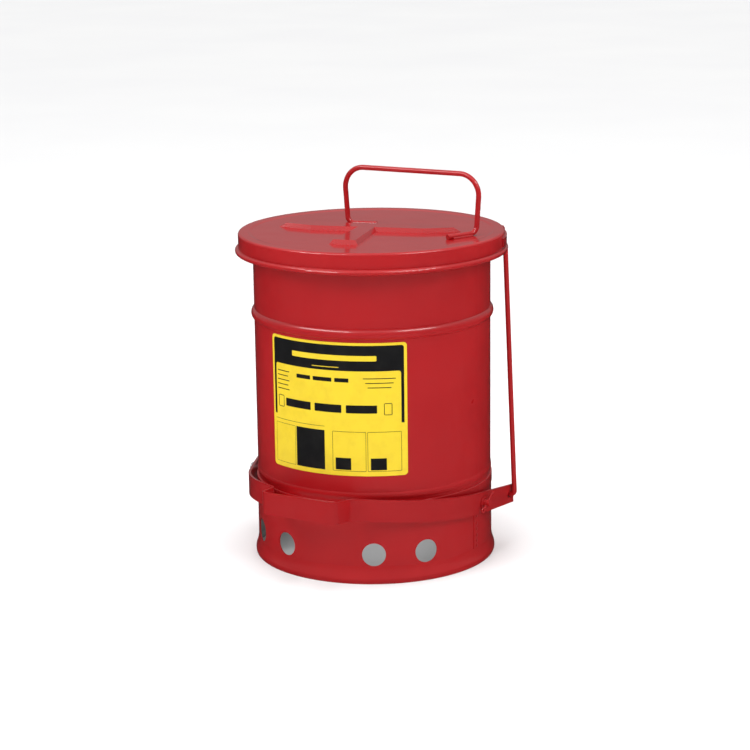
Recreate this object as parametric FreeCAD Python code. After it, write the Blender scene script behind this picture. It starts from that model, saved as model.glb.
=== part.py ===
"""Oily waste can: a steel drum on a vented base skirt, with a hinged lid that a foot lever opens.

Millimetres, +Z up. The origin is the centre of the foot ring, on the floor. The pedal is at -Y,
the lid hinge at +Y, and the link rod on the +X side. Every moving pivot is parallel to X.
"""
import FreeCAD, Part
import math
import os

V = FreeCAD.Vector
X_AXIS = V(1, 0, 0)
Y_AXIS = V(0, 1, 0)
Z_AXIS = V(0, 0, 1)

# ---- overall sizes ----
drum_r = 144.6            # outside of the drum wall
lid_top_z = 403.0         # top of the lid's raised rim
lid_overhang = 17.4       # how far the lid's skirt stands outside the drum
lid_r = drum_r + lid_overhang
sheet = 1.0               # steel sheet of drum, skirt, pan and lid
dish_drop = 0.8           # how far the lid's panel lies below its raised rim
rim_width = 12.0          # raised rim of the lid
dish_r = lid_r - rim_width
dish_slope = 4.0          # width of the slope between the panel and the raised rim
seat_gap = 0.3            # between the lid's panel and the drum's rolled rim
drum_top_z = lid_top_z - dish_drop - sheet - seat_gap
front_turn = 5.9          # the drum and its fittings sit turned this far on the lever's axis

# ---- drum ----
drum_bottom_z = 54.0
rim_bead_r = 2.2          # rolled rim round the mouth
swage_z = lid_top_z - 99.0
swage_height = 13.0
swage_rise = 3.7
lower_swage_z = 108.0     # shallow step above the base joint
lower_swage_height = 9.0
lower_swage_rise = 0.9

# ---- bottom pan ----
pan_flange = 14.0
pan_dish = 3.0
pan_corner = 5.0
fit_gap = 0.05            # between pieces that slide into each other before welding

# ---- base skirt ----
skirt_top_z = 100.0
collar_height = 13.0
collar_rise = 0.6
foot_r = drum_r + 4.9
foot_flare_z = 20.0
hem_r = 1.6               # rolled hem of the foot
foot_flat = 1.6           # width of the flat ring that stands on the floor
vent_r = 14.2
vent_z = 35.8
vent_angles = (23.35, 48.8)
lap_angle = 85.2
lap_width = 5.6           # degrees
lap_z = (16.0, 84.0)
lap_rise = 0.7
weld_angle = 87.8
weld_heights = (24.0, 30.0, 37.0, 45.0, 52.0, 62.0)
weld_r = 2.4
weld_rise = 0.6

# ---- label ----
label_from = -25.5
label_to = 45.9
label_z = (133.0, swage_z - 10.0)
label_thick = 0.2
label_corner = 4.0

# ---- lid ----
lid_edge_r = 3.0          # rounded corner between top and skirt
lid_bead_z = lid_top_z - 22.1
lid_bead_r = 3.2
lid_bead_out = lid_r + 4.0
ridge_height = 5.2
ridge_slope = 5.0         # how far the ridge's walls lean in
ridge_half = 18.4
bar_left = (47.5 - lid_r, -29.8)
bar_right = (lid_r - 55.0, 34.1)
bar_taper = 46.0          # length of each pointed end of the bar
arm_tip = (21.0, 59.0 - lid_r)

# ---- handle ----
wire_r = 3.15
handle_left = (-42.0, 16.5)
handle_right = (lid_r - 30.0, 21.8)
handle_top_z = lid_top_z + 75.0
shoulder_out = 5.0
handle_corner = 25.0
foot_corner = 9.0
left_foot_tip = (-7.0, 26.0)
right_foot_tip = (lid_r - 47.0, -19.5)
foot_sink = 0.4           # how deep the wire beds into its weld on the lid
weld_bead = 2.2

# ---- lid hinge ----
hinge_y = lid_r + 8.5
hinge_z = lid_top_z - 11.0
hinge_pin_r = 3.0
knuckle_r = 6.0
knuckle_half = 17.5
ear_gap = 0.6
ear_thick = 3.0
hinge_leaf_thick = 1.4
hinge_leaf_half = 34.0
hinge_leaf_z = (hinge_z - 5.5, hinge_z + 6.5)
running_fit = 0.06
body_leaf_z = (hinge_z - 74.0, hinge_z - 26.0)
body_leaf_half = 34.0
body_leaf_thick = 2.0
rivet_r = 3.6
rivet_rise = 1.8
pin_head = 1.6

# ---- lever ----
strap = 3.0
strap_half_height = 13.5
strap_end_half_height = 11.2
pivot_z = 78.0
lever_slope = 0.12        # rise per mm towards the pedal
strap_path_r = drum_r + 6.9   # middle of the strap round the drum and of the right arm
strap_shift = 7.0         # the strap's curve lies this far forward, so it clears the skirt when pressed
right_arm_end = 81.0
left_arm_end = 14.0
left_leave_angle = -63.0
pedal_y = -35.0 - strap_path_r
pedal_x = (-48.0, 51.0)
jog_x = (-51.5, 55.5)
bend_setback = 9.0
bend_depth = 0.586        # how far a bend's middle lies from its corner towards its chord
stud_r = 4.0
washer_r = 8.5
washer_thick = 1.2
side_gap = 0.3
stud_flange_r = 10.0
stud_tail = 7.0
cotter_wire_r = 1.0
cotter_leg_r = 0.8
cotter_lean = 32.0        # the right split pin's shank, up from level
cotter_low = 11.4         # its shank's length below and above the pin's axis
cotter_high = 8.5
cotter_eye_r = 2.6
cotter_eye_low = 12.8     # from the pin's axis to the middle of the eye
cotter_inset = 3.0        # from the washer to the split pin
cotter_leg_start = 7.5
cotter_leg_end = 17.0
cotter_spread = (2.2, -1.5, 2.2)
sleeve_r = 7.5
left_reach = 13.0         # the left split pin clears the slanting arm this far from the pin's axis
left_shank_half = 7.0
left_eye_r = 2.4
left_eye_low = 9.0
left_leg_start = 6.0
left_leg_tip = (4.5, 20.0)    # sideways and up from the pin's axis
sleeve_rim = 1.6          # of the sleeve, beyond the split pin
pin_head_rim = 2.6
pin_head_thick = 2.4

# ---- link rod ----
rod_r = 3.1
rod_corner = 4.3          # bend radius of the rod's hooks, at the wire's middle
rod_low_y = 73.5
rod_top_angle = 135.267   # from the front, towards the right
rod_top_r = lid_bead_out + 0.808
rod_top_y = -rod_top_r * math.cos(math.radians(rod_top_angle))
rod_top = (rod_top_y, lid_top_z - 32.0)   # Y and Z of its upper pivot
rod_hook_gap = 1.0
rod_tail = 4.5
nut_r = 6.2
nut_thick = 1.6
slot_front = 4.6          # slack of the lever's slot towards the drum's front
slot_rear = 1.0
slot_clear = 1.0          # above and below the rod

# ---- lid lug ----
lug_from = 104.5
lug_thick = 2.4
lug_z = (lid_top_z - 16.6, lid_top_z - 6.0)
lug_ear_x = rod_top_r * math.sin(math.radians(rod_top_angle))   # outer face of the ear
lug_ear_thick = 3.0
lug_boss_r = 7.4
lug_rear = rod_top_y + 9.3
bead_clear = 1.2

shapes = {}


def polar(angle, radius, z=0.0):
    """A point at an angle from the front (-Y), turning towards +X."""
    turn = math.radians(angle)
    return V(radius * math.sin(turn), -radius * math.cos(turn), z)


def tube(outer, inner, low, high):
    ring = Part.makeCylinder(outer, high - low, V(0, 0, low))
    return ring.cut(Part.makeCylinder(inner, high - low + 2, V(0, 0, low - 1)))


def sector(outer, inner, low, high, start, end):
    """A piece of a tube between two angles from the front."""
    whole = tube(outer, inner, low, high)
    middle = (start + end) / 2
    half = (end - start) / 2
    reach = 2 * outer
    corners = [V(0, 0, low - 1)]
    for step in (-1, -0.5, 0, 0.5, 1):
        corners.append(polar(middle + step * half, reach, low - 1))
    corners.append(corners[0])
    wedge = Part.Face(Part.makePolygon(corners)).extrude(V(0, 0, high - low + 2))
    return whole.common(wedge)


def x_cylinder(radius, x_start, x_end, y, z):
    return Part.makeCylinder(radius, x_end - x_start, V(x_start, y, z), X_AXIS)


def revolve(edges):
    face = Part.Face(Part.Wire(edges))
    return face.revolve(V(0, 0, 0), Z_AXIS, 360)


def outline(points):
    """Edges through (r, z) points in the XZ plane. A point with a third value starts an arc
    through it: (r, z, True) is the arc's middle point."""
    edges = []
    count = len(points)
    index = 0
    while index < count:
        here = points[index % count]
        after = points[(index + 1) % count]
        start = V(here[0], 0, here[1])
        if len(after) == 3:
            end = points[(index + 2) % count]
            arc = Part.Arc(start, V(after[0], 0, after[1]), V(end[0], 0, end[1]))
            edges.append(arc.toShape())
            index += 2
        else:
            edges.append(Part.LineSegment(start, V(after[0], 0, after[1])).toShape())
            index += 1
    return edges


def bulge(radius, middle, height, rise):
    """Three (r, z) points of a swage that swells out of a wall, from below to above."""
    return [(radius, middle - height / 2), (radius + rise, middle, True), (radius, middle + height / 2)]


def wall_profile(outer, inner):
    """Closed outline from an outer wall, listed upwards, and an inner wall, also upwards."""
    return outer + list(reversed(inner))


def bent_wire(points, radius, bends):
    """A round rod along straight runs, with a bend radius for each inner point."""
    edges = []
    start = points[0]
    for index, bend in enumerate(bends):
        corner = points[index + 1]
        back = (points[index] - corner).normalize()
        ahead = (points[index + 2] - corner).normalize()
        half = back.getAngle(ahead) / 2
        setback = bend / math.tan(half)
        middle = corner + (back + ahead).normalize() * (bend / math.sin(half) - bend)
        edges.append(Part.LineSegment(start, corner + back * setback).toShape())
        edges.append(Part.Arc(corner + back * setback, middle, corner + ahead * setback).toShape())
        start = corner + ahead * setback
    edges.append(Part.LineSegment(start, points[-1]).toShape())
    spine = Part.Wire(edges)
    section = Part.Wire([Part.Circle(points[0], points[1] - points[0], radius).toShape()])
    return spine.makePipeShell([section], True, False)


# ---- drum ----

def body_shell():
    inner_r = drum_r - sheet
    bead_z = drum_top_z - rim_bead_r
    outer = [(drum_r, drum_bottom_z)]
    outer += bulge(drum_r, lower_swage_z, lower_swage_height, lower_swage_rise)
    outer += bulge(drum_r, swage_z, swage_height, swage_rise)
    outer += [(drum_r, bead_z)]
    inner = [(inner_r, drum_bottom_z)]
    inner += bulge(inner_r, lower_swage_z, lower_swage_height, lower_swage_rise)
    inner += bulge(inner_r, swage_z, swage_height, swage_rise)
    inner += [(inner_r, bead_z)]
    wall = revolve(outline(wall_profile(outer, inner)))
    bead_centre = inner_r + rim_bead_r
    bead = Part.makeTorus(bead_centre, rim_bead_r, V(0, 0, bead_z), Z_AXIS)
    return wall.fuse(bead).removeSplitter()


def bottom_pan():
    outer_r = drum_r - sheet - fit_gap
    low = drum_bottom_z
    top = low + pan_flange
    inside = outer_r - sheet
    corner = pan_corner * (1 - math.sqrt(0.5))
    points = [
        (outer_r, low),
        (outer_r, top - pan_corner),
        (outer_r - corner, top - corner, True),
        (outer_r - pan_corner, top),
        (outer_r - 3 * pan_corner, top - pan_dish),
        (0, top - pan_dish),
        (0, top - pan_dish - sheet),
        (outer_r - 3 * pan_corner, top - pan_dish - sheet),
        (inside - pan_corner, top - sheet),
        (inside - corner, top - sheet - corner, True),
        (inside, top - pan_corner - sheet),
        (inside, low),
    ]
    return revolve(outline(points))


def skirt_wall():
    """Base skirt before its vents: a collar over the drum's foot, a plain wall and a flared hem."""
    inner = drum_r + fit_gap
    outer = inner + sheet
    collar = outer + collar_rise
    collar_low = skirt_top_z - collar_height
    hem_mid = foot_r - hem_r
    points = [
        (inner, foot_flare_z),
        (inner, skirt_top_z),
        (collar - 0.6, skirt_top_z),
        (collar - 0.18, skirt_top_z - 0.18, True),
        (collar, skirt_top_z - 0.6),
        (collar, collar_low + 1.2),
        (outer, collar_low),
        (outer, foot_flare_z + 1),
        (outer + 0.9, foot_flare_z - 5, True),
        (foot_r - 0.9, foot_flare_z - 12),
        (foot_r, 3.2, True),
        (hem_mid + foot_flat / 2, 0),
        (hem_mid - foot_flat / 2, 0),
        (hem_mid - hem_r, 2.6, True),
        (foot_r - 2.4, foot_flare_z - 12),
        (inner + 0.5, foot_flare_z - 5, True),
    ]
    wall = revolve(outline(points))
    lap = sector(outer + lap_rise, outer - 0.2, lap_z[0] + 5, lap_z[1], lap_angle, lap_angle + lap_width)
    return wall.fuse(lap)


def vent_directions():
    """Four vents at the front and four behind them."""
    angles = []
    for angle in vent_angles:
        for side in (-1, 1):
            angles.append(front_turn + side * angle)
            angles.append(front_turn + 180 + side * angle)
    return angles


def base_skirt():
    wall = skirt_wall()
    for angle in vent_directions():
        start = polar(angle, drum_r * 0.8, vent_z)
        drill = Part.makeCylinder(vent_r, drum_r * 0.4, start, polar(angle, 1))
        wall = wall.cut(drill)
    return wall.removeSplitter()


def skirt_spot_welds():
    surface = drum_r + fit_gap + sheet + lap_rise
    bumps = []
    for height in weld_heights:
        foot = polar(weld_angle, surface - 0.1, height)
        ball_r = (weld_r ** 2 + weld_rise ** 2) / (2 * weld_rise)
        centre = polar(weld_angle, surface + weld_rise - ball_r, height)
        ball = Part.makeSphere(ball_r, centre)
        cap = Part.makeCylinder(weld_r, weld_rise + 1, foot, polar(weld_angle, 1))
        bumps.append(ball.common(cap).cut(shapes["base_skirt"]))
    return Part.makeCompound(bumps)


def label():
    low, high = label_z
    plate = sector(drum_r + label_thick, drum_r, low, high, label_from, label_to)
    window = rounded_window(low, high)
    return plate.common(window)


def rounded_window(low, high):
    """A slab facing the label's middle, with rounded corners, that trims the label's outline."""
    middle = (label_from + label_to) / 2
    half = drum_r * math.sin(math.radians((label_to - label_from) / 2))
    slab = Part.makeBox(2 * half, drum_r, high - low, V(-half, -drum_r - 5, low))
    upright = [edge for edge in slab.Edges if abs(edge.tangentAt(edge.FirstParameter).y) > 0.9]
    slab = slab.makeFillet(label_corner, upright)
    slab.rotate(V(0, 0, 0), Z_AXIS, middle)
    return slab


# ---- lid ----

def ridge_outline(grow, z):
    """Bar of the pressed ridge: a long hexagon with pointed ends."""
    left = V(bar_left[0], bar_left[1], z)
    right = V(bar_right[0], bar_right[1], z)
    along = (right - left).normalize()
    across = Z_AXIS.cross(along)
    tip = grow * 2.2
    half = ridge_half + grow
    points = [
        left - along * tip,
        left + along * bar_taper - across * half,
        right - along * bar_taper - across * half,
        right + along * tip,
        right - along * bar_taper + across * half,
        left + along * bar_taper + across * half,
    ]
    return Part.makePolygon(points + [points[0]])


def arm_outline(grow, z):
    """Front arm of the pressed ridge, running from the bar towards the pedal."""
    bar_middle = V((bar_left[0] + bar_right[0]) / 2, (bar_left[1] + bar_right[1]) / 2, z)
    tip = V(arm_tip[0], arm_tip[1], z)
    along = (tip - bar_middle).normalize()
    across = Z_AXIS.cross(along)
    half = ridge_half + grow
    neck = half * 0.72
    points = [
        bar_middle - across * neck,
        tip + along * grow - across * half,
        tip + along * grow + across * half,
        bar_middle + across * neck,
    ]
    return Part.makePolygon(points + [points[0]])


def ridge(shrink, top_z):
    foot_z = lid_top_z - dish_drop - sheet
    solids = []
    for shape_at in (ridge_outline, arm_outline):
        low = shape_at(-shrink, foot_z)
        high = shape_at(-shrink - ridge_slope, top_z)
        solids.append(Part.makeLoft([low, high], True, True))
    return solids[0].fuse(solids[1])


def lid_cover():
    """Pressed top with a shallow recess inside its raised rim, a plain skirt and a rolled bead."""
    top = lid_top_z
    recess = top - dish_drop
    skirt_in = lid_r - sheet
    bead_centre = lid_bead_out - lid_bead_r
    edge = lid_edge_r * (1 - math.sqrt(0.5))
    inner_edge = (lid_edge_r - sheet) * (1 - math.sqrt(0.5))
    points = [
        (0, recess),
        (dish_r - dish_slope, recess),
        (dish_r, top),
        (lid_r - lid_edge_r, top),
        (lid_r - edge, top - edge, True),
        (lid_r, top - lid_edge_r),
        (lid_r, lid_bead_z),
        (skirt_in, lid_bead_z),
        (skirt_in, top - lid_edge_r),
        (skirt_in - inner_edge, top - sheet - inner_edge, True),
        (skirt_in - lid_edge_r + sheet, top - sheet),
        (dish_r + sheet / 2, top - sheet),
        (dish_r - dish_slope + sheet / 2, recess - sheet),
        (0, recess - sheet),
    ]
    sheet_metal = revolve(outline(points))
    bead = Part.makeTorus(bead_centre, lid_bead_r, V(0, 0, lid_bead_z), Z_AXIS)
    cover = sheet_metal.fuse(bead)
    cover = cover.fuse(ridge(0, recess + ridge_height))
    cover = cover.cut(ridge(sheet, recess + ridge_height - sheet))
    return cover.removeSplitter()


def handle_points():
    floor_z = lid_top_z - dish_drop + wire_r - foot_sink
    shoulder_z = handle_top_z - wire_r
    left = V(handle_left[0], handle_left[1], floor_z)
    right = V(handle_right[0], handle_right[1], floor_z)
    along = (right - left).normalize()
    rise = V(0, 0, shoulder_z - floor_z)
    return [
        V(left_foot_tip[0], left_foot_tip[1], floor_z),
        left,
        left - along * shoulder_out + rise,
        right + along * shoulder_out + rise,
        right,
        V(right_foot_tip[0], right_foot_tip[1], floor_z),
    ]


def lid_handle():
    bends = (foot_corner, handle_corner, handle_corner, foot_corner)
    wire = bent_wire(handle_points(), wire_r, bends)
    return wire.cut(shapes["lid_cover"])


def handle_welds():
    """A weld bead along each side of both feet, on the lid."""
    path = handle_points()
    floor_z = lid_top_z - dish_drop
    beads = []
    for tip, corner in ((path[0], path[1]), (path[5], path[4])):
        along = (tip - corner).normalize()
        across = Z_AXIS.cross(along)
        length = (tip - corner).Length - foot_corner - 6
        for side in (-1, 1):
            start = corner + along * foot_corner + across * side * wire_r
            start.z = floor_z + 0.3
            bead = Part.makeCylinder(weld_bead, length, start, along)
            beads.append(bead)
    solid = beads[0].fuse(beads[1:])
    return solid.cut([shapes["lid_cover"], shapes["lid_handle"]])


# ---- lid hinge ----

def hinge_body_leaf():
    """Curved plate on the drum's back with two ears that carry the hinge pin."""
    low, high = body_leaf_z
    half_angle = math.degrees(math.asin(body_leaf_half / drum_r))
    outer = drum_r + body_leaf_thick
    leaf = sector(outer, drum_r, low, high, 180 - half_angle, 180 + half_angle)
    ear_y = math.sqrt(outer ** 2 - (knuckle_half + ear_gap + ear_thick) ** 2) - body_leaf_thick / 2
    ears = []
    for side in (-1, 1):
        near = side * (knuckle_half + ear_gap)
        x_low = min(near, near + side * ear_thick)
        profile = [
            V(x_low, ear_y, low + 6),
            V(x_low, ear_y + 4, low + 6),
            V(x_low, hinge_y + knuckle_r, hinge_z - 16),
            V(x_low, hinge_y + knuckle_r, hinge_z),
            V(x_low, hinge_y - 2.4, hinge_z),
            V(x_low, hinge_y - 2.4, lid_bead_z - 9),
            V(x_low, ear_y, high - 3),
        ]
        plate = Part.Face(Part.makePolygon(profile + [profile[0]])).extrude(V(ear_thick, 0, 0))
        boss = x_cylinder(knuckle_r, x_low, x_low + ear_thick, hinge_y, hinge_z)
        ears.append(plate.fuse(boss))
    body = leaf.fuse(ears)
    bore = x_cylinder(hinge_pin_r, -100, 100, hinge_y, hinge_z)
    return body.cut(bore).cut(Part.makeCylinder(drum_r, 500)).removeSplitter()


def dome(base, direction, radius, rise):
    """A rivet head: a low dome on a surface."""
    ball_r = (radius ** 2 + rise ** 2) / (2 * rise)
    ball = Part.makeSphere(ball_r, base + direction * (rise - ball_r))
    return ball.common(Part.makeCylinder(radius, rise + 1, base, direction))


def hinge_body_rivets():
    low, high = body_leaf_z
    surface = drum_r + body_leaf_thick
    reach = math.degrees(math.asin((body_leaf_half - 6) / drum_r))
    heads = []
    for side in (-1, 1):
        for height in (low + 8, high - 8):
            angle = 180 + side * reach
            out = polar(angle, 1)
            heads.append(dome(polar(angle, surface, height), out, rivet_r, rivet_rise))
    return Part.makeCompound([head.cut(shapes["hinge_body_leaf"]) for head in heads])


def hinge_pin():
    end = knuckle_half + ear_gap + ear_thick
    shank = x_cylinder(hinge_pin_r, -end, end, hinge_y, hinge_z)
    heads = []
    for side in (-1, 1):
        heads.append(dome(V(side * end, hinge_y, hinge_z), V(side, 0, 0), hinge_pin_r + 1.4, pin_head))
    return shank.fuse(heads)


def hinge_lid_leaf():
    """Plate on the back of the lid's skirt with the knuckle that turns on the hinge pin."""
    low, high = hinge_leaf_z
    outer = lid_r + hinge_leaf_thick
    half_angle = math.degrees(math.asin(hinge_leaf_half / lid_r))
    plate = sector(outer, lid_r, low, high, 180 - half_angle, 180 + half_angle)
    knuckle = x_cylinder(knuckle_r, -knuckle_half, knuckle_half, hinge_y, hinge_z)
    web = Part.makeBox(
        2 * knuckle_half, hinge_y - lid_r + 1, knuckle_r,
        V(-knuckle_half, lid_r - 1, hinge_z))
    solid = plate.fuse([knuckle, web])
    solid = solid.cut(x_cylinder(hinge_pin_r + running_fit, -100, 100, hinge_y, hinge_z))
    return solid.cut(Part.makeCylinder(lid_r, 500)).removeSplitter()


def hinge_lid_rivets():
    surface = lid_r + hinge_leaf_thick
    middle = sum(hinge_leaf_z) / 2
    reach = math.degrees(math.asin((hinge_leaf_half - 5) / lid_r))
    heads = []
    for side in (-1, 1):
        angle = 180 + side * reach
        heads.append(dome(polar(angle, surface, middle), polar(angle, 1), rivet_r, rivet_rise))
    return Part.makeCompound([head.cut(shapes["hinge_lid_leaf"]) for head in heads])


# ---- lid lug ----

def lid_link_lug():
    """Band on the lid's skirt whose rear end turns back into an ear for the link rod."""
    low, high = lug_z
    pin_y, pin_z = rod_top
    x_in = lug_ear_x - lug_ear_thick
    band_end = math.degrees(math.atan2(lug_ear_x, -math.sqrt(lid_r ** 2 - lug_ear_x ** 2)))
    band = sector(lid_r + lug_thick, lid_r, low, high, lug_from, band_end + 1.0)
    neck_y = math.sqrt((lid_bead_out + bead_clear) ** 2 - x_in ** 2)
    profile = [
        V(x_in, math.sqrt(lid_r ** 2 - lug_ear_x ** 2) - 1, high),
        V(x_in, math.sqrt(lid_r ** 2 - lug_ear_x ** 2) - 1, low),
        V(x_in, neck_y, low),
        V(x_in, neck_y, pin_z + 4),
        V(x_in, lug_rear - 4, pin_z - 5.0),
        V(x_in, lug_rear, pin_z),
        V(x_in, lug_rear, high - 4),
        V(x_in, lug_rear - 4, high),
    ]
    ear = Part.Face(Part.makePolygon(profile + [profile[0]])).extrude(V(lug_ear_thick, 0, 0))
    boss = x_cylinder(lug_boss_r, x_in, lug_ear_x, pin_y, pin_z)
    hole = x_cylinder(rod_r + running_fit, x_in - 5, lug_ear_x + 5, pin_y, pin_z)
    bead_room = Part.makeCylinder(
        lid_bead_out + bead_clear, 2 * lid_bead_r + bead_clear + 0.6,
        V(0, 0, lid_bead_z - lid_bead_r - bead_clear))
    solid = band.fuse([ear, boss])
    solid = solid.cut(Part.makeCylinder(lid_r, 500)).cut(bead_room).cut(hole)
    return solid.removeSplitter()


# ---- lever ----

def strap_corner(before, corner, after, setback):
    """Arc that rounds a bend of the strap; returns the arc's start, middle and end."""
    start = corner + (before - corner).normalize() * setback
    end = corner + (after - corner).normalize() * setback
    chord = (start + end) * 0.5
    middle = corner + (chord - corner) * bend_depth
    return start, middle, end


def strap_point(angle):
    """A point of the strap's middle line where it curves round the drum."""
    return polar(angle, strap_path_r) - V(0, strap_shift, 0)


def strap_plan():
    """Middle line of the strap seen from above, from the right arm's end to the left arm's end."""
    right_turn = math.degrees(math.asin(jog_x[1] / strap_path_r))
    left_turn = math.degrees(math.asin(jog_x[0] / strap_path_r))
    right_notch = strap_point(right_turn)
    left_notch = strap_point(left_turn)
    right_toe = V(pedal_x[1], pedal_y, 0)
    left_toe = V(pedal_x[0], pedal_y, 0)
    arc_step = math.degrees(bend_setback / strap_path_r)
    right_arc_end = strap_point(right_turn + arc_step)
    left_arc_end = strap_point(left_turn - arc_step)
    leave = strap_point(left_leave_angle)
    turn = math.radians(left_leave_angle)
    tangent = V(-math.cos(turn), -math.sin(turn), 0)
    left_end = leave + tangent * ((left_arm_end - leave.y) / tangent.y)
    bends = [
        strap_corner(right_arc_end, right_notch, right_toe, bend_setback),
        strap_corner(right_notch, right_toe, left_toe, bend_setback),
        strap_corner(right_toe, left_toe, left_notch, bend_setback),
        strap_corner(left_toe, left_notch, left_arc_end, bend_setback),
    ]
    beside = strap_point(90)
    arm_end = V(beside.x, right_arm_end, 0)
    half_way = strap_point((90 + right_turn + arc_step) / 2)
    edges = [Part.LineSegment(arm_end, beside).toShape()]
    edges.append(Part.Arc(beside, half_way, bends[0][0]).toShape())
    for bend, following in zip(bends, bends[1:]):
        edges.append(Part.Arc(*bend).toShape())
        edges.append(Part.LineSegment(bend[2], following[0]).toShape())
    edges.append(Part.Arc(*bends[-1]).toShape())
    half_way = strap_point((left_leave_angle + left_turn - arc_step) / 2)
    edges.append(Part.Arc(bends[-1][2], half_way, leave).toShape())
    edges.append(Part.LineSegment(leave, left_end).toShape())
    return edges, left_end, tangent


def strap_side_profile():
    """The strap seen from the side: a band that rises towards the pedal and narrows at the rear."""
    def edge_z(y, half):
        return pivot_z - lever_slope * y + half
    front = pedal_y - 30
    rear = right_arm_end + 10
    top = [(front, strap_half_height), (-12.0, strap_half_height), (rear, strap_end_half_height)]
    points = [V(-300, y, edge_z(y, half)) for y, half in top]
    points += [V(-300, y, edge_z(y, -half)) for y, half in reversed(top)]
    return Part.Face(Part.makePolygon(points + [points[0]])).extrude(V(600, 0, 0))


def left_arm_x():
    """Where the middle of the left arm crosses the pivot axis."""
    edges, end, tangent = strap_plan()
    return (end + tangent * (-end.y / tangent.y)).x


def slot_y_z():
    return rod_low_y, pivot_z - lever_slope * rod_low_y


def pedal_lever():
    edges = strap_plan()[0]
    plan = Part.Wire(edges).makeOffset2D(strap / 2, 2, True, False)
    slab = plan.extrude(V(0, 0, 400)).common(strap_side_profile())
    bore = x_cylinder(stud_r + running_fit, -300, 300, 0, pivot_z)
    y, z = slot_y_z()
    reach = rod_r + slot_clear
    ends = [x_cylinder(reach, 0, 300, y - slot_front, z), x_cylinder(reach, 0, 300, y + slot_rear, z)]
    middle = Part.makeBox(300, slot_front + slot_rear, 2 * reach, V(0, y - slot_front, z - reach))
    return slab.cut([bore, middle] + ends).removeSplitter()


# ---- right pivot ----

def right_faces():
    inner = strap_path_r - strap / 2
    return inner, inner + strap


def right_pivot_stud():
    inner, outer = right_faces()
    end = outer + side_gap + washer_thick + stud_tail
    flange = x_cylinder(stud_flange_r, drum_r - 6, inner - side_gap, 0, pivot_z)
    shank = x_cylinder(stud_r, drum_r, end, 0, pivot_z)
    solid = flange.fuse(shank)
    drum = Part.makeCylinder(drum_r + fit_gap + sheet / 2, 200)
    solid = solid.cut(drum).cut(shapes["base_skirt"])
    return solid.cut(cotter_wire(right_cotter_x()))


def right_cotter_x():
    return right_faces()[1] + side_gap + washer_thick + cotter_inset


def cotter_direction():
    lean = math.radians(cotter_lean)
    return V(0, math.cos(lean), math.sin(lean))


def cotter_wire(x):
    """Straight shank of a split pin through the stud on the right."""
    along = cotter_direction()
    start = V(x, 0, pivot_z) - along * cotter_low
    return Part.makeCylinder(cotter_wire_r, cotter_low + cotter_high, start, along)


def cotter_leg(start, tip):
    """One free leg of a split pin, with a rounded end."""
    leg = Part.makeCylinder(cotter_leg_r, (tip - start).Length, start, tip - start)
    return [leg, Part.makeSphere(cotter_leg_r, tip)]


def washer(x_start, hole_r, y, z, outer_r, thick):
    ring = x_cylinder(outer_r, x_start, x_start + thick, y, z)
    return ring.cut(x_cylinder(hole_r, x_start - 1, x_start + thick + 1, y, z))


def right_pivot_washer():
    start = right_faces()[1] + side_gap
    return washer(start, stud_r + fit_gap, 0, pivot_z, washer_r, washer_thick)


def right_pivot_cotter():
    """Split pin: an eye at the low end, a shank through the stud, and two legs that part."""
    x = right_cotter_x()
    along = cotter_direction()
    middle = V(x, 0, pivot_z)
    eye = Part.makeTorus(cotter_eye_r, cotter_wire_r, middle - along * cotter_eye_low, X_AXIS)
    legs = []
    for side in (-1, 1):
        tip = middle + along * cotter_leg_end + V(*cotter_spread) * side
        legs += cotter_leg(middle + along * cotter_leg_start, tip)
    return cotter_wire(x).fuse([eye] + legs)


# ---- left pivot ----

def left_face(side, reach):
    """Where a disc of the given reach clears the slanting left arm: -1 is outside, 1 is inside."""
    edges, end, tangent = strap_plan()
    span = strap / 2 / abs(tangent.y)
    lean = reach * abs(tangent.x / tangent.y)
    return left_arm_x() + side * (span + lean + side_gap)


def left_cotter_x():
    return left_face(1, left_reach) + cotter_wire_r


def left_pivot_sleeve():
    """Stand-off on the skirt that holds the left pin."""
    end = left_cotter_x() + cotter_wire_r + sleeve_rim
    solid = x_cylinder(sleeve_r, end, -drum_r + 8, 0, pivot_z)
    foot = x_cylinder(stud_flange_r, -drum_r - 3.0, -drum_r + 6, 0, pivot_z)
    drum = Part.makeCylinder(drum_r + fit_gap + sheet / 2, 200)
    solid = solid.fuse(foot).cut(drum).cut(shapes["base_skirt"])
    return solid.cut(x_cylinder(stud_r, -300, 0, 0, pivot_z)).removeSplitter()


def left_pivot_pin():
    outer = left_face(-1, stud_r + pin_head_rim)
    shank = x_cylinder(stud_r, outer, -drum_r, 0, pivot_z)
    head = x_cylinder(stud_r + pin_head_rim, outer - pin_head_thick, outer, 0, pivot_z)
    drum = Part.makeCylinder(drum_r + fit_gap + sheet / 2, 200)
    solid = shank.fuse(head).cut(drum).cut(shapes["base_skirt"])
    return solid.cut(Part.makeCylinder(cotter_wire_r, 40, V(left_cotter_x(), 0, pivot_z - 20), Z_AXIS))


def left_pivot_cotter():
    """Split pin between the left arm and its stand-off, with its legs bent apart above the pin."""
    x = left_cotter_x()
    low = V(x, 0, pivot_z - left_shank_half)
    shank = Part.makeCylinder(cotter_wire_r, 2 * left_shank_half, low, Z_AXIS)
    eye = Part.makeTorus(left_eye_r, cotter_wire_r, V(x, 0, pivot_z - left_eye_low), X_AXIS)
    legs = []
    for side in (-1, 1):
        tip = V(x, left_leg_tip[0] * side, pivot_z + left_leg_tip[1])
        legs += cotter_leg(V(x, 0, pivot_z + left_leg_start), tip)
    return shank.fuse([eye] + legs)


# ---- link rod ----

def rod_low_x():
    return right_faces()[1] + rod_hook_gap + washer_thick + rod_r


def rod_high_x():
    return lug_ear_x + rod_hook_gap + washer_thick + rod_r


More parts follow.
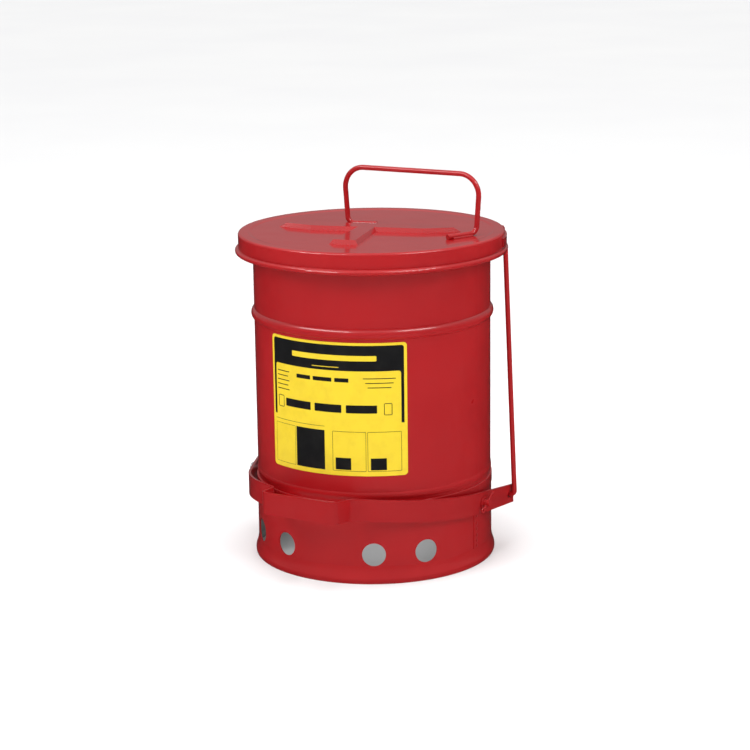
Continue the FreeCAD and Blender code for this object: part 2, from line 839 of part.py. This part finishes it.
def rod_tail_x():
    """Inner ends of the rod's lower and upper hooks."""
    low = right_faces()[0] - rod_hook_gap - nut_thick - rod_tail
    high = lug_ear_x - lug_ear_thick - side_gap - nut_thick - 1.0
    return low, high


def link_rod():
    low_y, low_z = slot_y_z()
    high_y, high_z = rod_top
    low_tail, high_tail = rod_tail_x()
    points = [
        V(low_tail, low_y, low_z),
        V(rod_low_x(), low_y, low_z),
        V(rod_high_x(), high_y, high_z),
        V(high_tail, high_y, high_z),
    ]
    return bent_wire(points, rod_r, (rod_corner, rod_corner))


def rod_lower_nut():
    y, z = slot_y_z()
    start = right_faces()[0] - rod_hook_gap - nut_thick
    return washer(start, rod_r, y, z, nut_r, nut_thick)


def rod_upper_nut():
    y, z = rod_top
    start = lug_ear_x - lug_ear_thick - side_gap - nut_thick
    return washer(start, rod_r, y, z, nut_r, nut_thick)


BUILDERS = (
    body_shell,
    base_skirt,
    bottom_pan,
    skirt_spot_welds,
    label,
    lid_cover,
    lid_handle,
    handle_welds,
    hinge_body_leaf,
    hinge_body_rivets,
    hinge_pin,
    hinge_lid_leaf,
    hinge_lid_rivets,
    lid_link_lug,
    pedal_lever,
    right_pivot_stud,
    right_pivot_washer,
    right_pivot_cotter,
    left_pivot_sleeve,
    left_pivot_pin,
    left_pivot_cotter,
    link_rod,
    rod_lower_nut,
    rod_upper_nut,
)


def main():
    os.makedirs("parts", exist_ok=True)
    for builder in BUILDERS:
        name = builder.__name__
        shape = builder()
        shapes[name] = shape
        shape.exportStep("parts/" + name + ".step")
        box = shape.BoundBox
        print(
            "%-20s solids %d  valid %s  volume %9.0f  x %7.1f %7.1f  y %7.1f %7.1f  z %6.1f %6.1f" % (
                name, len(shape.Solids), shape.isValid(), shape.Volume,
                box.XMin, box.XMax, box.YMin, box.YMax, box.ZMin, box.ZMax))


main()
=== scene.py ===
"""Studio scene of an oily waste can: gloss red enamel over steel, with a plain printed label.

Metres, in the frame's own axes: +Z up, the pedal at -Y, the link rod at +X.
"""
import bpy
import bmesh
import math
from mathutils import Matrix, Vector


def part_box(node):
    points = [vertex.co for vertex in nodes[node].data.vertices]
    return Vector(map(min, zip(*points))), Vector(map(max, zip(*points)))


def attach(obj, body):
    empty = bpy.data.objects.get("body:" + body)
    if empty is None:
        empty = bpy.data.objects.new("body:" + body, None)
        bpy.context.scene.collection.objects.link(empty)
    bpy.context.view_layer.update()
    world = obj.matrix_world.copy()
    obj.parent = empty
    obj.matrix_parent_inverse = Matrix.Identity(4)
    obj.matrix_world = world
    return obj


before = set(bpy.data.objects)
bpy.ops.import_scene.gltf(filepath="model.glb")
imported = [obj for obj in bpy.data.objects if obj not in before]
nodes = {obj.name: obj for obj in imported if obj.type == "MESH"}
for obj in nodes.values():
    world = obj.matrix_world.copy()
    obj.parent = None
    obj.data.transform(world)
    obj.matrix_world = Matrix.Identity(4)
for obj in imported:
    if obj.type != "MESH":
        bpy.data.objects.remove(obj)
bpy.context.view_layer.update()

MM = 0.001

# ---- colours, linear ----
RED = (0.430, 0.0060, 0.0090, 1)
RED_DEEP = (0.330, 0.0045, 0.0070, 1)
RED_LIGHT = (0.470, 0.0080, 0.0110, 1)
ZINC = (0.46, 0.46, 0.47, 1)
ZINC_DARK = (0.20, 0.20, 0.21, 1)
YELLOW = (0.93, 0.68, 0.015, 1)
YELLOW_DEEP = (0.80, 0.55, 0.010, 1)
INK = (0.008, 0.008, 0.009, 1)
INK_WORN = (0.022, 0.021, 0.020, 1)
FLOOR = (0.73, 0.73, 0.73, 1)
FLOOR_SOFT = (0.71, 0.71, 0.715, 1)
VENT_GREY = (0.360, 0.375, 0.360, 1)
WORLD_ABOVE = (0.55, 0.55, 0.55, 1)
WORLD_LOW_SKY = (0.22, 0.22, 0.22, 1)
WORLD_BELOW = (0.02, 0.02, 0.02, 1)

# ---- surface detail: scales are per metre ----
CLOUD_SCALE = 9.0             # slow change of the red
GLOSS_SCALE = 22.0
PEEL_SCALE = 210.0            # orange peel of the sprayed enamel
PEEL_DEPTH = 0.04 * MM
WAVE_SCALE = 14.0             # slow waves of the sheet steel
WAVE_DEPTH = 0.6 * MM
WORN_EDGE = (0.56, 0.66)      # pointiness at which wear begins and is full
INWARDS = (-0.6, -0.4)        # cosine to the outward direction: all inside, and no longer inside
WELD_SCALE = 340.0
WELD_DEPTH = 0.5 * MM
FITTING_SPANGLE = 900.0
PAN_SPANGLE = 120.0
ZINC_DEPTH = 0.05 * MM
BLOTCH_SCALE = 60.0           # unevenness of printed ink
PRINT_GLOSS_SCALE = 90.0
FILM_SCALE = 300.0
FILM_DEPTH = 0.04 * MM
FLOOR_SCALE = 1.5

# ---- camera, seen from in front and to the right of the pedal ----
CAMERA_TARGET = Vector((0.0019, 0.0011, 0.2204))
CAMERA_AZIMUTH = 29.95
CAMERA_ELEVATION = 13.81
CAMERA_DISTANCE = 2.668
CAMERA_ROLL = -0.743
CAMERA_LENS = 103.73
CAMERA_SENSOR = 36.0

# ---- lights: degrees, metres and watts ----
FILLS = (
    dict(name="key_left", azimuth=-28.0, elevation=38.0, distance=2.6, width=0.9, height=1.0, watts=21.0),
    dict(name="key_right", azimuth=78.0, elevation=38.0, distance=2.6, width=0.9, height=1.0, watts=19.0),
    dict(name="overhead", azimuth=20.0, elevation=82.0, distance=2.6, width=2.2, height=2.2, watts=36.0),
)
SHEENS = (
    dict(name="sheen_left", azimuth=-23.0, elevation=44.0, distance=2.9, width=2.4, height=0.55, watts=36.0),
    dict(name="sheen_right", azimuth=78.0, elevation=44.0, distance=2.9, width=1.6, height=0.55, watts=25.0),
)
VENT_GLOW_SIDE = 0.20
VENT_GLOW_WATTS = 0.07
VENT_GLOW_GAP = 2 * MM        # the lamp hangs this far under the pan
SUN_STRENGTH = 2.6
SUN_ANGLE = math.radians(40)

# ---- world: heights on the unit sphere between which its colour changes ----
HORIZON = (-0.02, 0.05)
HIGH_SKY = (0.32, 0.60)

# ---- floor ----
FLOOR_FIRST_RING = 0.5        # radius of the inner disc; each ring is twice as wide as the last
FLOOR_RINGS = 7
FLOOR_SIDES = 64

# ---- label: ink ----
INK_LIFT = 0.05 * MM          # the ink lies this far above the film
INK_THICK = 0.03 * MM
OVERPRINT_LIFT = INK_LIFT + 2 * INK_THICK
INK_STEP = math.radians(1.0)  # the ink bends round the drum in steps of this angle
CORNER_STEPS = 6
CORNER = 0.3 * MM

# ---- label: layout, in fractions of its width and height ----
BAND_OUTER = (0.02, 0.98, 0.98)           # left, right and top of the black band and its side lines
BAND_INNER = (0.04, 0.96, 0.79)
BAND_FOOT = 0.40                          # the side lines end here
BAND_CORNER = 3.0 * MM
PANEL_LOW, PANEL_TOP = 0.035, 0.335       # the lower row of panels
BLACK_PANEL = (0.225, 0.445)
PLAIN_PANEL = (0.03, 0.215)
PLAIN_PANEL_LINE = 0.35 * MM
BLOCK_PANELS = (0.500, 0.735)             # left edges of the two frames with a black block in them
BLOCK_PANEL_WIDE = 0.225
BLOCK_LEFT, BLOCK_RIGHT = 0.02, 0.125     # from the frame's left edge
BLOCK_LOW, BLOCK_TOP = 0.045, 0.135
THIN_LINE = 0.45 * MM
PANEL_RULE = 0.365                        # height of the rule above the left two panels
BROAD_BARS = ((0.135, 0.345), (0.375, 0.565), (0.595, 0.800))
BROAD_LOW, BROAD_TOP = 0.475, 0.535
BROAD_CORNER = 0.8 * MM
SMALL_BARS = ((0.235, 0.345), (0.365, 0.500), (0.520, 0.615))
SMALL_LOW, SMALL_TOP = 0.705, 0.735
SMALL_CORNER = 0.6 * MM
RULES_TOP = 0.735
RULES_STEP = 0.034
RULE_THICK = 1.0 * MM
LEFT_RULES = 5
LEFT_RULE = (0.055, 0.170)
LEFT_RULE_SHORTER = 0.012                 # every second rule is this much shorter
RIGHT_RULES = 3
RIGHT_RULE = (0.710, 0.925)
RIGHT_RULE_SHORTER = 0.015                # each rule is this much shorter at both ends
SIDE_FRAMES = (0.062, 0.845)              # left edges of the two small frames beside the broad bars
SIDE_FRAME_WIDE = 0.055
SIDE_FRAME_LOW, SIDE_FRAME_TOP = 0.460, 0.550
SIDE_FRAME_LINE = 0.8 * MM
HEADER_BAR = (0.20, 0.865, 0.80, 0.905)   # left, bottom, right, top
HEADER_BAR_CORNER = 1.2 * MM
HEADER_RULE = (0.36, 0.55)
HEADER_RULE_HEIGHT = 0.815
HEADER_RULE_THICK = 0.9 * MM


# ---- material helpers ----

def material(name):
    """A new node material; returns it with its node tree and Principled shader."""
    made = bpy.data.materials.new(name)
    made.use_nodes = True
    return made, made.node_tree, made.node_tree.nodes["Principled BSDF"]


def object_coordinates(tree):
    return tree.nodes.new("ShaderNodeTexCoord").outputs["Object"]


def noise(tree, vector, scale, detail=3.0, roughness=0.5):
    made = tree.nodes.new("ShaderNodeTexNoise")
    made.inputs["Scale"].default_value = scale
    made.inputs["Detail"].default_value = detail
    made.inputs["Roughness"].default_value = roughness
    tree.links.new(vector, made.inputs["Vector"])
    return made.outputs["Fac"]


def spread(tree, value, low, high, out_low=0.0, out_high=1.0):
    """Maps a value's range low..high to out_low..out_high, clamped."""
    made = tree.nodes.new("ShaderNodeMapRange")
    for name, number in (
        ("From Min", low), ("From Max", high), ("To Min", out_low), ("To Max", out_high),
    ):
        made.inputs[name].default_value = number
    tree.links.new(value, made.inputs["Value"])
    return made.outputs["Result"]


def blend_colours(tree, amount, first, second):
    """Mixes two colours, each a constant or another node's output."""
    made = tree.nodes.new("ShaderNodeMix")
    made.data_type = "RGBA"
    tree.links.new(amount, made.inputs["Factor"])
    for socket, colour in ((made.inputs[6], first), (made.inputs[7], second)):
        if isinstance(colour, tuple):
            socket.default_value = colour
        else:
            tree.links.new(colour, socket)
    return made.outputs[2]


def bump(tree, layers):
    """Stacks height maps, each (height, strength, depth in metres); returns the last normal."""
    normal = None
    for height, strength, depth in layers:
        made = tree.nodes.new("ShaderNodeBump")
        made.inputs["Strength"].default_value = strength
        made.inputs["Distance"].default_value = depth
        tree.links.new(height, made.inputs["Height"])
        if normal is not None:
            tree.links.new(normal, made.inputs["Normal"])
        normal = made.outputs["Normal"]
    return normal


def coat(shader, weight, roughness):
    shader.inputs["Coat Weight"].default_value = weight
    shader.inputs["Coat Roughness"].default_value = roughness


# ---- materials ----

def facing_inwards(tree, where):
    """1 on faces that look towards the can's axis, 0 on the rest."""
    flat = tree.nodes.new("ShaderNodeVectorMath")
    flat.operation = "MULTIPLY"
    flat.inputs[1].default_value = (1, 1, 0)
    tree.links.new(where, flat.inputs[0])
    outwards = tree.nodes.new("ShaderNodeVectorMath")
    outwards.operation = "NORMALIZE"
    tree.links.new(flat.outputs["Vector"], outwards.inputs[0])
    facing = tree.nodes.new("ShaderNodeVectorMath")
    facing.operation = "DOT_PRODUCT"
    tree.links.new(tree.nodes.new("ShaderNodeTexCoord").outputs["Normal"], facing.inputs[0])
    tree.links.new(outwards.outputs["Vector"], facing.inputs[1])
    return spread(tree, facing.outputs["Value"], *INWARDS, out_low=1.0, out_high=0.0)


def enamel(name, orange_peel=0.05, waviness=0.0, wear=0.0, inside=None):
    """Gloss red enamel. inside is the colour of the faces that look inwards, if it differs."""
    made, tree, shader = material(name)
    where = object_coordinates(tree)
    cloud = spread(tree, noise(tree, where, CLOUD_SCALE, detail=2.0), low=0.35, high=0.65)
    colour = blend_colours(tree, cloud, RED, RED_LIGHT)
    gloss = spread(tree, noise(tree, where, GLOSS_SCALE, detail=2.0), low=0.2, high=0.8,
                   out_low=0.27, out_high=0.33)
    if wear:
        edges = tree.nodes.new("ShaderNodeNewGeometry").outputs["Pointiness"]
        worn = spread(tree, edges, *WORN_EDGE, out_high=wear)
        colour = blend_colours(tree, worn, colour, RED_DEEP)
    if inside is not None:
        colour = blend_colours(tree, facing_inwards(tree, where), colour, inside)
    tree.links.new(colour, shader.inputs["Base Color"])
    tree.links.new(gloss, shader.inputs["Roughness"])
    coat(shader, weight=0.7, roughness=0.06)
    shader.inputs["IOR"].default_value = 1.45
    layers = [(noise(tree, where, PEEL_SCALE, detail=1.0), orange_peel, PEEL_DEPTH)]
    if waviness:
        layers.append((noise(tree, where, WAVE_SCALE, detail=1.0), waviness, WAVE_DEPTH))
    tree.links.new(bump(tree, layers), shader.inputs["Normal"])
    return made


def weld_enamel():
    """The same enamel over the ripples of a weld bead."""
    made, tree, shader = material("enamel_weld")
    where = object_coordinates(tree)
    lumps = noise(tree, where, WELD_SCALE, roughness=0.6)
    colour = blend_colours(tree, spread(tree, lumps, low=0.3, high=0.7), RED_DEEP, RED)
    tree.links.new(colour, shader.inputs["Base Color"])
    shader.inputs["Roughness"].default_value = 0.34
    coat(shader, weight=0.4, roughness=0.12)
    tree.links.new(bump(tree, [(lumps, 0.7, WELD_DEPTH)]), shader.inputs["Normal"])
    return made


def zinc(name, spangle):
    """Zinc-plated steel. spangle sets the size of its crystals, per metre."""
    made, tree, shader = material(name)
    where = object_coordinates(tree)
    cells = tree.nodes.new("ShaderNodeTexVoronoi")
    cells.inputs["Scale"].default_value = spangle
    tree.links.new(where, cells.inputs["Vector"])
    split = tree.nodes.new("ShaderNodeSeparateColor")
    tree.links.new(cells.outputs["Color"], split.inputs["Color"])
    grain = noise(tree, where, spangle * 4, detail=4.0, roughness=0.6)
    crystals = spread(tree, split.outputs["Red"], low=0, high=1, out_high=0.35)
    tree.links.new(blend_colours(tree, crystals, ZINC, ZINC_DARK), shader.inputs["Base Color"])
    dulled = spread(tree, grain, low=0.3, high=0.7, out_low=0.28, out_high=0.46)
    tree.links.new(dulled, shader.inputs["Roughness"])
    shader.inputs["Metallic"].default_value = 1.0
    tree.links.new(bump(tree, [(grain, 0.15, ZINC_DEPTH)]), shader.inputs["Normal"])
    return made


def printed(name, first, second):
    """Gloss printed film: faint unevenness of the ink under a clear surface."""
    made, tree, shader = material(name)
    where = object_coordinates(tree)
    blotch = spread(tree, noise(tree, where, BLOTCH_SCALE, detail=4.0, roughness=0.6),
                    low=0.45, high=0.75, out_high=0.5)
    tree.links.new(blend_colours(tree, blotch, first, second), shader.inputs["Base Color"])
    gloss = spread(tree, noise(tree, where, PRINT_GLOSS_SCALE), low=0.3, high=0.7,
                   out_low=0.30, out_high=0.42)
    tree.links.new(gloss, shader.inputs["Roughness"])
    coat(shader, weight=0.25, roughness=0.15)
    grain = noise(tree, where, FILM_SCALE)
    tree.links.new(bump(tree, [(grain, 0.06, FILM_DEPTH)]), shader.inputs["Normal"])
    return made


def floor_material():
    made, tree, shader = material("studio_floor")
    where = object_coordinates(tree)
    soft = spread(tree, noise(tree, where, FLOOR_SCALE, detail=2.0), low=0.3, high=0.7)
    tree.links.new(blend_colours(tree, soft, FLOOR, FLOOR_SOFT), shader.inputs["Base Color"])
    shader.inputs["Roughness"].default_value = 0.85
    shader.inputs["Specular IOR Level"].default_value = 0.1
    return made


def finish_cad_nodes():
    """Gives every CAD node its material."""
    sheet = enamel("enamel_sheet", waviness=0.05)
    skirt = enamel("enamel_skirt", waviness=0.05, inside=VENT_GREY)
    drum = enamel("enamel_drum", waviness=0.06)
    strap = enamel("enamel_strap", orange_peel=0.07, wear=0.6)
    wire = enamel("enamel_wire", wear=0.3)
    weld = weld_enamel()
    fitting = zinc("zinc_fitting", FITTING_SPANGLE)
    pan = zinc("zinc_pan", PAN_SPANGLE)
    film = printed("label_yellow", YELLOW, YELLOW_DEEP)
    finishes = {
        drum: ("body_shell",),
        sheet: ("lid_cover",),
        skirt: ("base_skirt",),
        strap: ("pedal_lever", "lid_link_lug", "hinge_body_leaf", "hinge_lid_leaf"),
        wire: ("lid_handle", "link_rod", "hinge_body_rivets", "hinge_lid_rivets", "left_pivot_sleeve",
               "right_pivot_stud", "right_pivot_washer", "right_pivot_cotter"),
        weld: ("handle_welds", "skirt_spot_welds"),
        fitting: ("hinge_pin", "left_pivot_pin", "left_pivot_cotter", "rod_lower_nut", "rod_upper_nut"),
        pan: ("bottom_pan",),
        film: ("label",),
    }
    for finish, names in finishes.items():
        for name in names:
            slots = nodes[name].data.materials
            slots.clear()
            slots.append(finish)


# ---- scene helpers ----

def in_scene(name, data):
    """A new object in the scene."""
    made = bpy.data.objects.new(name, data)
    bpy.context.scene.collection.objects.link(made)
    return made


def finished_mesh(name, mesh, finish):
    """Turns a bmesh into mesh data with one material."""
    data = bpy.data.meshes.new(name)
    mesh.to_mesh(data)
    mesh.free()
    data.materials.append(finish)
    return data


# ---- label art ----

class Label:
    """The label's place on the drum, from its CAD node."""

    def __init__(self):
        low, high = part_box("label")
        self.radius = -low.y
        self.start = math.asin(low.x / self.radius)
        self.end = math.asin(high.x / self.radius)
        self.low = low.z
        self.width = (self.end - self.start) * self.radius
        self.height = high.z - low.z

    def on_drum(self, point, lift):
        """Bends a flat point (metres across, metres up) round the drum."""
        turn = self.start + point.x / self.radius
        reach = self.radius + lift
        return Vector((reach * math.sin(turn), -reach * math.cos(turn), self.low + point.y))


def rounded(left, bottom, right, top, radius):
    """Loop of a rectangle with rounded corners, counterclockwise from its upper right corner."""
    corners = (
        (right - radius, top - radius, 0),
        (left + radius, top - radius, 90),
        (left + radius, bottom + radius, 180),
        (right - radius, bottom + radius, 270),
    )
    loop = []
    for x, y, first in corners:
        for step in range(CORNER_STEPS + 1):
            angle = math.radians(first + 90 * step / CORNER_STEPS)
            loop.append((x + radius * math.cos(angle), y + radius * math.sin(angle)))
    return loop


def add_loop(mesh, loop):
    mesh.faces.new([mesh.verts.new((x, y, 0)) for x, y in loop])


def add_band(mesh, outer, inner, closed):
    """Faces between two lines with the same number of points."""
    out = [mesh.verts.new((x, y, 0)) for x, y in outer]
    within = [mesh.verts.new((x, y, 0)) for x, y in inner]
    count = len(out)
    for index in range(count if closed else count - 1):
        after = (index + 1) % count
        mesh.faces.new((out[index], out[after], within[after], within[index]))


def wrapped_piece(name, label, build, finish, lift):
    """Bends flat faces round the drum and gives them the ink's thickness."""
    mesh = bmesh.new()
    build(mesh)
    cuts = int((label.end - label.start) / INK_STEP)
    for index in range(1, cuts):
        everything = mesh.verts[:] + mesh.edges[:] + mesh.faces[:]
        bmesh.ops.bisect_plane(
            mesh, geom=everything, dist=1e-7,
            plane_co=(index * INK_STEP * label.radius, 0, 0), plane_no=(1, 0, 0))
    for vert in mesh.verts:
        vert.co = label.on_drum(vert.co, lift)
    piece = in_scene(name, finished_mesh(name, mesh, finish))
    thicken = piece.modifiers.new("thickness", "SOLIDIFY")
    thicken.thickness = INK_THICK
    thicken.offset = 1.0
    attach(piece, "can")


def label_art():
    """Black fields, frames and plain rules. Nothing here is lettering or a sign."""
    label = Label()
    ink = printed("label_ink", INK, INK_WORN)
    film = printed("label_film_top", YELLOW, YELLOW_DEEP)
    wide, tall = label.width, label.height

    def box(mesh, left, bottom, right, top, radius):
        add_loop(mesh, rounded(left * wide, bottom * tall, right * wide, top * tall, radius))

    def rule(mesh, left, right, height, thick):
        half = thick / 2
        add_loop(mesh, rounded(left * wide, height * tall - half, right * wide,
                               height * tall + half, half * 0.98))

    def framed(mesh, left, bottom, right, top, line):
        outer = rounded(left * wide, bottom * tall, right * wide, top * tall, 2 * line)
        inner = rounded(left * wide + line, bottom * tall + line, right * wide - line,
                        top * tall - line, line)
        add_band(mesh, outer, inner, closed=True)

    def arch(left, right, top):
        """Line from the right foot, over two rounded corners, to the left foot."""
        foot = BAND_FOOT * tall
        loop = rounded(left * wide, foot, right * wide, top * tall, BAND_CORNER)
        upper_corners = loop[:2 * (CORNER_STEPS + 1)]
        return [(right * wide, foot)] + upper_corners + [(left * wide, foot)]

    def header(mesh):
        """The black band and its two side lines."""
        add_band(mesh, arch(*BAND_OUTER), arch(*BAND_INNER), closed=False)

    def panels(mesh):
        """The lower row: one black panel, two frames with a black block, and one plain frame."""
        box(mesh, BLACK_PANEL[0], PANEL_LOW, BLACK_PANEL[1], PANEL_TOP, CORNER)
        for left in BLOCK_PANELS:
            framed(mesh, left, PANEL_LOW, left + BLOCK_PANEL_WIDE, PANEL_TOP, THIN_LINE)
            box(mesh, left + BLOCK_LEFT, BLOCK_LOW, left + BLOCK_RIGHT, BLOCK_TOP, CORNER)
        framed(mesh, PLAIN_PANEL[0], PANEL_LOW, PLAIN_PANEL[1], PANEL_TOP, PLAIN_PANEL_LINE)
        rule(mesh, PLAIN_PANEL[0], BLACK_PANEL[1], PANEL_RULE, THIN_LINE)

    def bars(mesh):
        """Three broad bars between two small frames, and small bars and short rules above them."""
        for left, right in BROAD_BARS:
            box(mesh, left, BROAD_LOW, right, BROAD_TOP, BROAD_CORNER)
        for left, right in SMALL_BARS:
            box(mesh, left, SMALL_LOW, right, SMALL_TOP, SMALL_CORNER)
        for index in range(LEFT_RULES):
            right = LEFT_RULE[1] - LEFT_RULE_SHORTER * (index % 2)
            rule(mesh, LEFT_RULE[0], right, RULES_TOP - RULES_STEP * index, RULE_THICK)
        for index in range(RIGHT_RULES):
            shorter = RIGHT_RULE_SHORTER * index
            rule(mesh, RIGHT_RULE[0] + shorter, RIGHT_RULE[1] - shorter,
                 RULES_TOP - RULES_STEP * index, RULE_THICK)
        for left in SIDE_FRAMES:
            framed(mesh, left, SIDE_FRAME_LOW, left + SIDE_FRAME_WIDE, SIDE_FRAME_TOP, SIDE_FRAME_LINE)

    def header_rules(mesh):
        """Plain bars in the film's colour, on the black band."""
        box(mesh, *HEADER_BAR, HEADER_BAR_CORNER)
        rule(mesh, *HEADER_RULE, HEADER_RULE_HEIGHT, HEADER_RULE_THICK)

    for name, build, finish, lift in (
        ("label_header", header, ink, INK_LIFT),
        ("label_panels", panels, ink, INK_LIFT),
        ("label_bars", bars, ink, INK_LIFT),
        ("label_header_rules", header_rules, film, OVERPRINT_LIFT),
    ):
        wrapped_piece(name, label, build, finish, lift)


# ---- studio ----

def axes_towards(azimuth, elevation):
    """Unit vectors from the target towards a place, and right and up as seen from there."""
    turn = math.radians(azimuth)
    rise = math.radians(elevation)
    back = Vector((math.sin(turn) * math.cos(rise), -math.cos(turn) * math.cos(rise), math.sin(rise)))
    right = Vector((math.cos(turn), math.sin(turn), 0))
    return back, right, back.cross(right)


def facing_target(right, up, back, distance):
    """Matrix of a camera or light that looks at the target from this far away."""
    placed = Matrix((right, up, back)).transposed().to_4x4()
    placed.translation = CAMERA_TARGET + back * distance
    return placed


def make_camera():
    back, right, up = axes_towards(CAMERA_AZIMUTH, CAMERA_ELEVATION)
    roll = math.radians(CAMERA_ROLL)
    rolled_right = right * math.cos(roll) + up * math.sin(roll)
    rolled_up = up * math.cos(roll) - right * math.sin(roll)
    data = bpy.data.cameras.new("camera")
    data.lens = CAMERA_LENS
    data.sensor_width = CAMERA_SENSOR
    camera = in_scene("camera", data)
    camera.matrix_world = facing_target(rolled_right, rolled_up, back, CAMERA_DISTANCE)
    bpy.context.scene.camera = camera


def area_light(name, placed, width, height, watts):
    data = bpy.data.lights.new(name, "AREA")
    data.shape = "RECTANGLE"
    data.size = width
    data.size_y = height
    data.energy = watts
    lamp = in_scene(name, data)
    lamp.matrix_world = placed
    return lamp


def soft_box(name, azimuth, elevation, distance, width, height, watts):
    """A rectangular area light that faces the can's middle."""
    back, right, up = axes_towards(azimuth, elevation)
    return area_light(name, facing_target(right, up, back, distance), width, height, watts)


def make_lights():
    """Fills that light the can, sheens that only its gloss shows, and a lamp inside the skirt."""
    for fill in FILLS:
        soft_box(**fill).visible_glossy = False
    for sheen in SHEENS:
        soft_box(**sheen).visible_diffuse = False
    pan_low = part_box("bottom_pan")[0].z
    under_pan = Matrix.Translation((0, 0, pan_low - VENT_GLOW_GAP))
    area_light("vent_glow", under_pan, VENT_GLOW_SIDE, VENT_GLOW_SIDE, VENT_GLOW_WATTS)


def make_world():
    """A pale sky, dimmer near the horizon, and a dark surround below that glossy walls reflect."""
    world = bpy.data.worlds.new("studio")
    world.use_nodes = True
    tree = world.node_tree
    background = tree.nodes["Background"]
    split = tree.nodes.new("ShaderNodeSeparateXYZ")
    tree.links.new(tree.nodes.new("ShaderNodeTexCoord").outputs["Generated"], split.inputs["Vector"])
    risen = spread(tree, split.outputs["Z"], *HORIZON)
    high = spread(tree, split.outputs["Z"], *HIGH_SKY)
    colour = blend_colours(tree, risen, WORLD_BELOW, WORLD_LOW_SKY)
    colour = blend_colours(tree, high, colour, WORLD_ABOVE)
    tree.links.new(colour, background.inputs["Color"])
    bpy.context.scene.world = world
    bpy.context.scene.view_settings.view_transform = "Standard"


def make_floor():
    """A wide pale disc with rings of faces that widen outwards."""
    mesh = bmesh.new()
    turns = [2 * math.pi * step / FLOOR_SIDES for step in range(FLOOR_SIDES)]
    radius = FLOOR_FIRST_RING
    rings = []
    for _ in range(FLOOR_RINGS):
        rings.append([mesh.verts.new((radius * math.cos(turn), radius * math.sin(turn), 0))
                      for turn in turns])
        radius *= 2
    mesh.faces.new(rings[0])
    for inner, outer in zip(rings, rings[1:]):
        for index in range(FLOOR_SIDES):
            after = (index + 1) % FLOOR_SIDES
            mesh.faces.new((inner[index], outer[index], outer[after], inner[after]))
    floor = in_scene("floor", finished_mesh("floor", mesh, floor_material()))
    floor.visible_glossy = False
    return floor


def light_floor(floor):
    """A wide soft sun that lights only the floor, so that it stays white all round."""
    data = bpy.data.lights.new("floor_sun", "SUN")
    data.energy = SUN_STRENGTH
    data.angle = SUN_ANGLE
    lamp = in_scene("floor_sun", data)
    lit = bpy.data.collections.new("floor_only")
    lit.objects.link(floor)
    lamp.light_linking.receiver_collection = lit


finish_cad_nodes()
label_art()
make_camera()
make_lights()
make_world()
light_floor(make_floor())
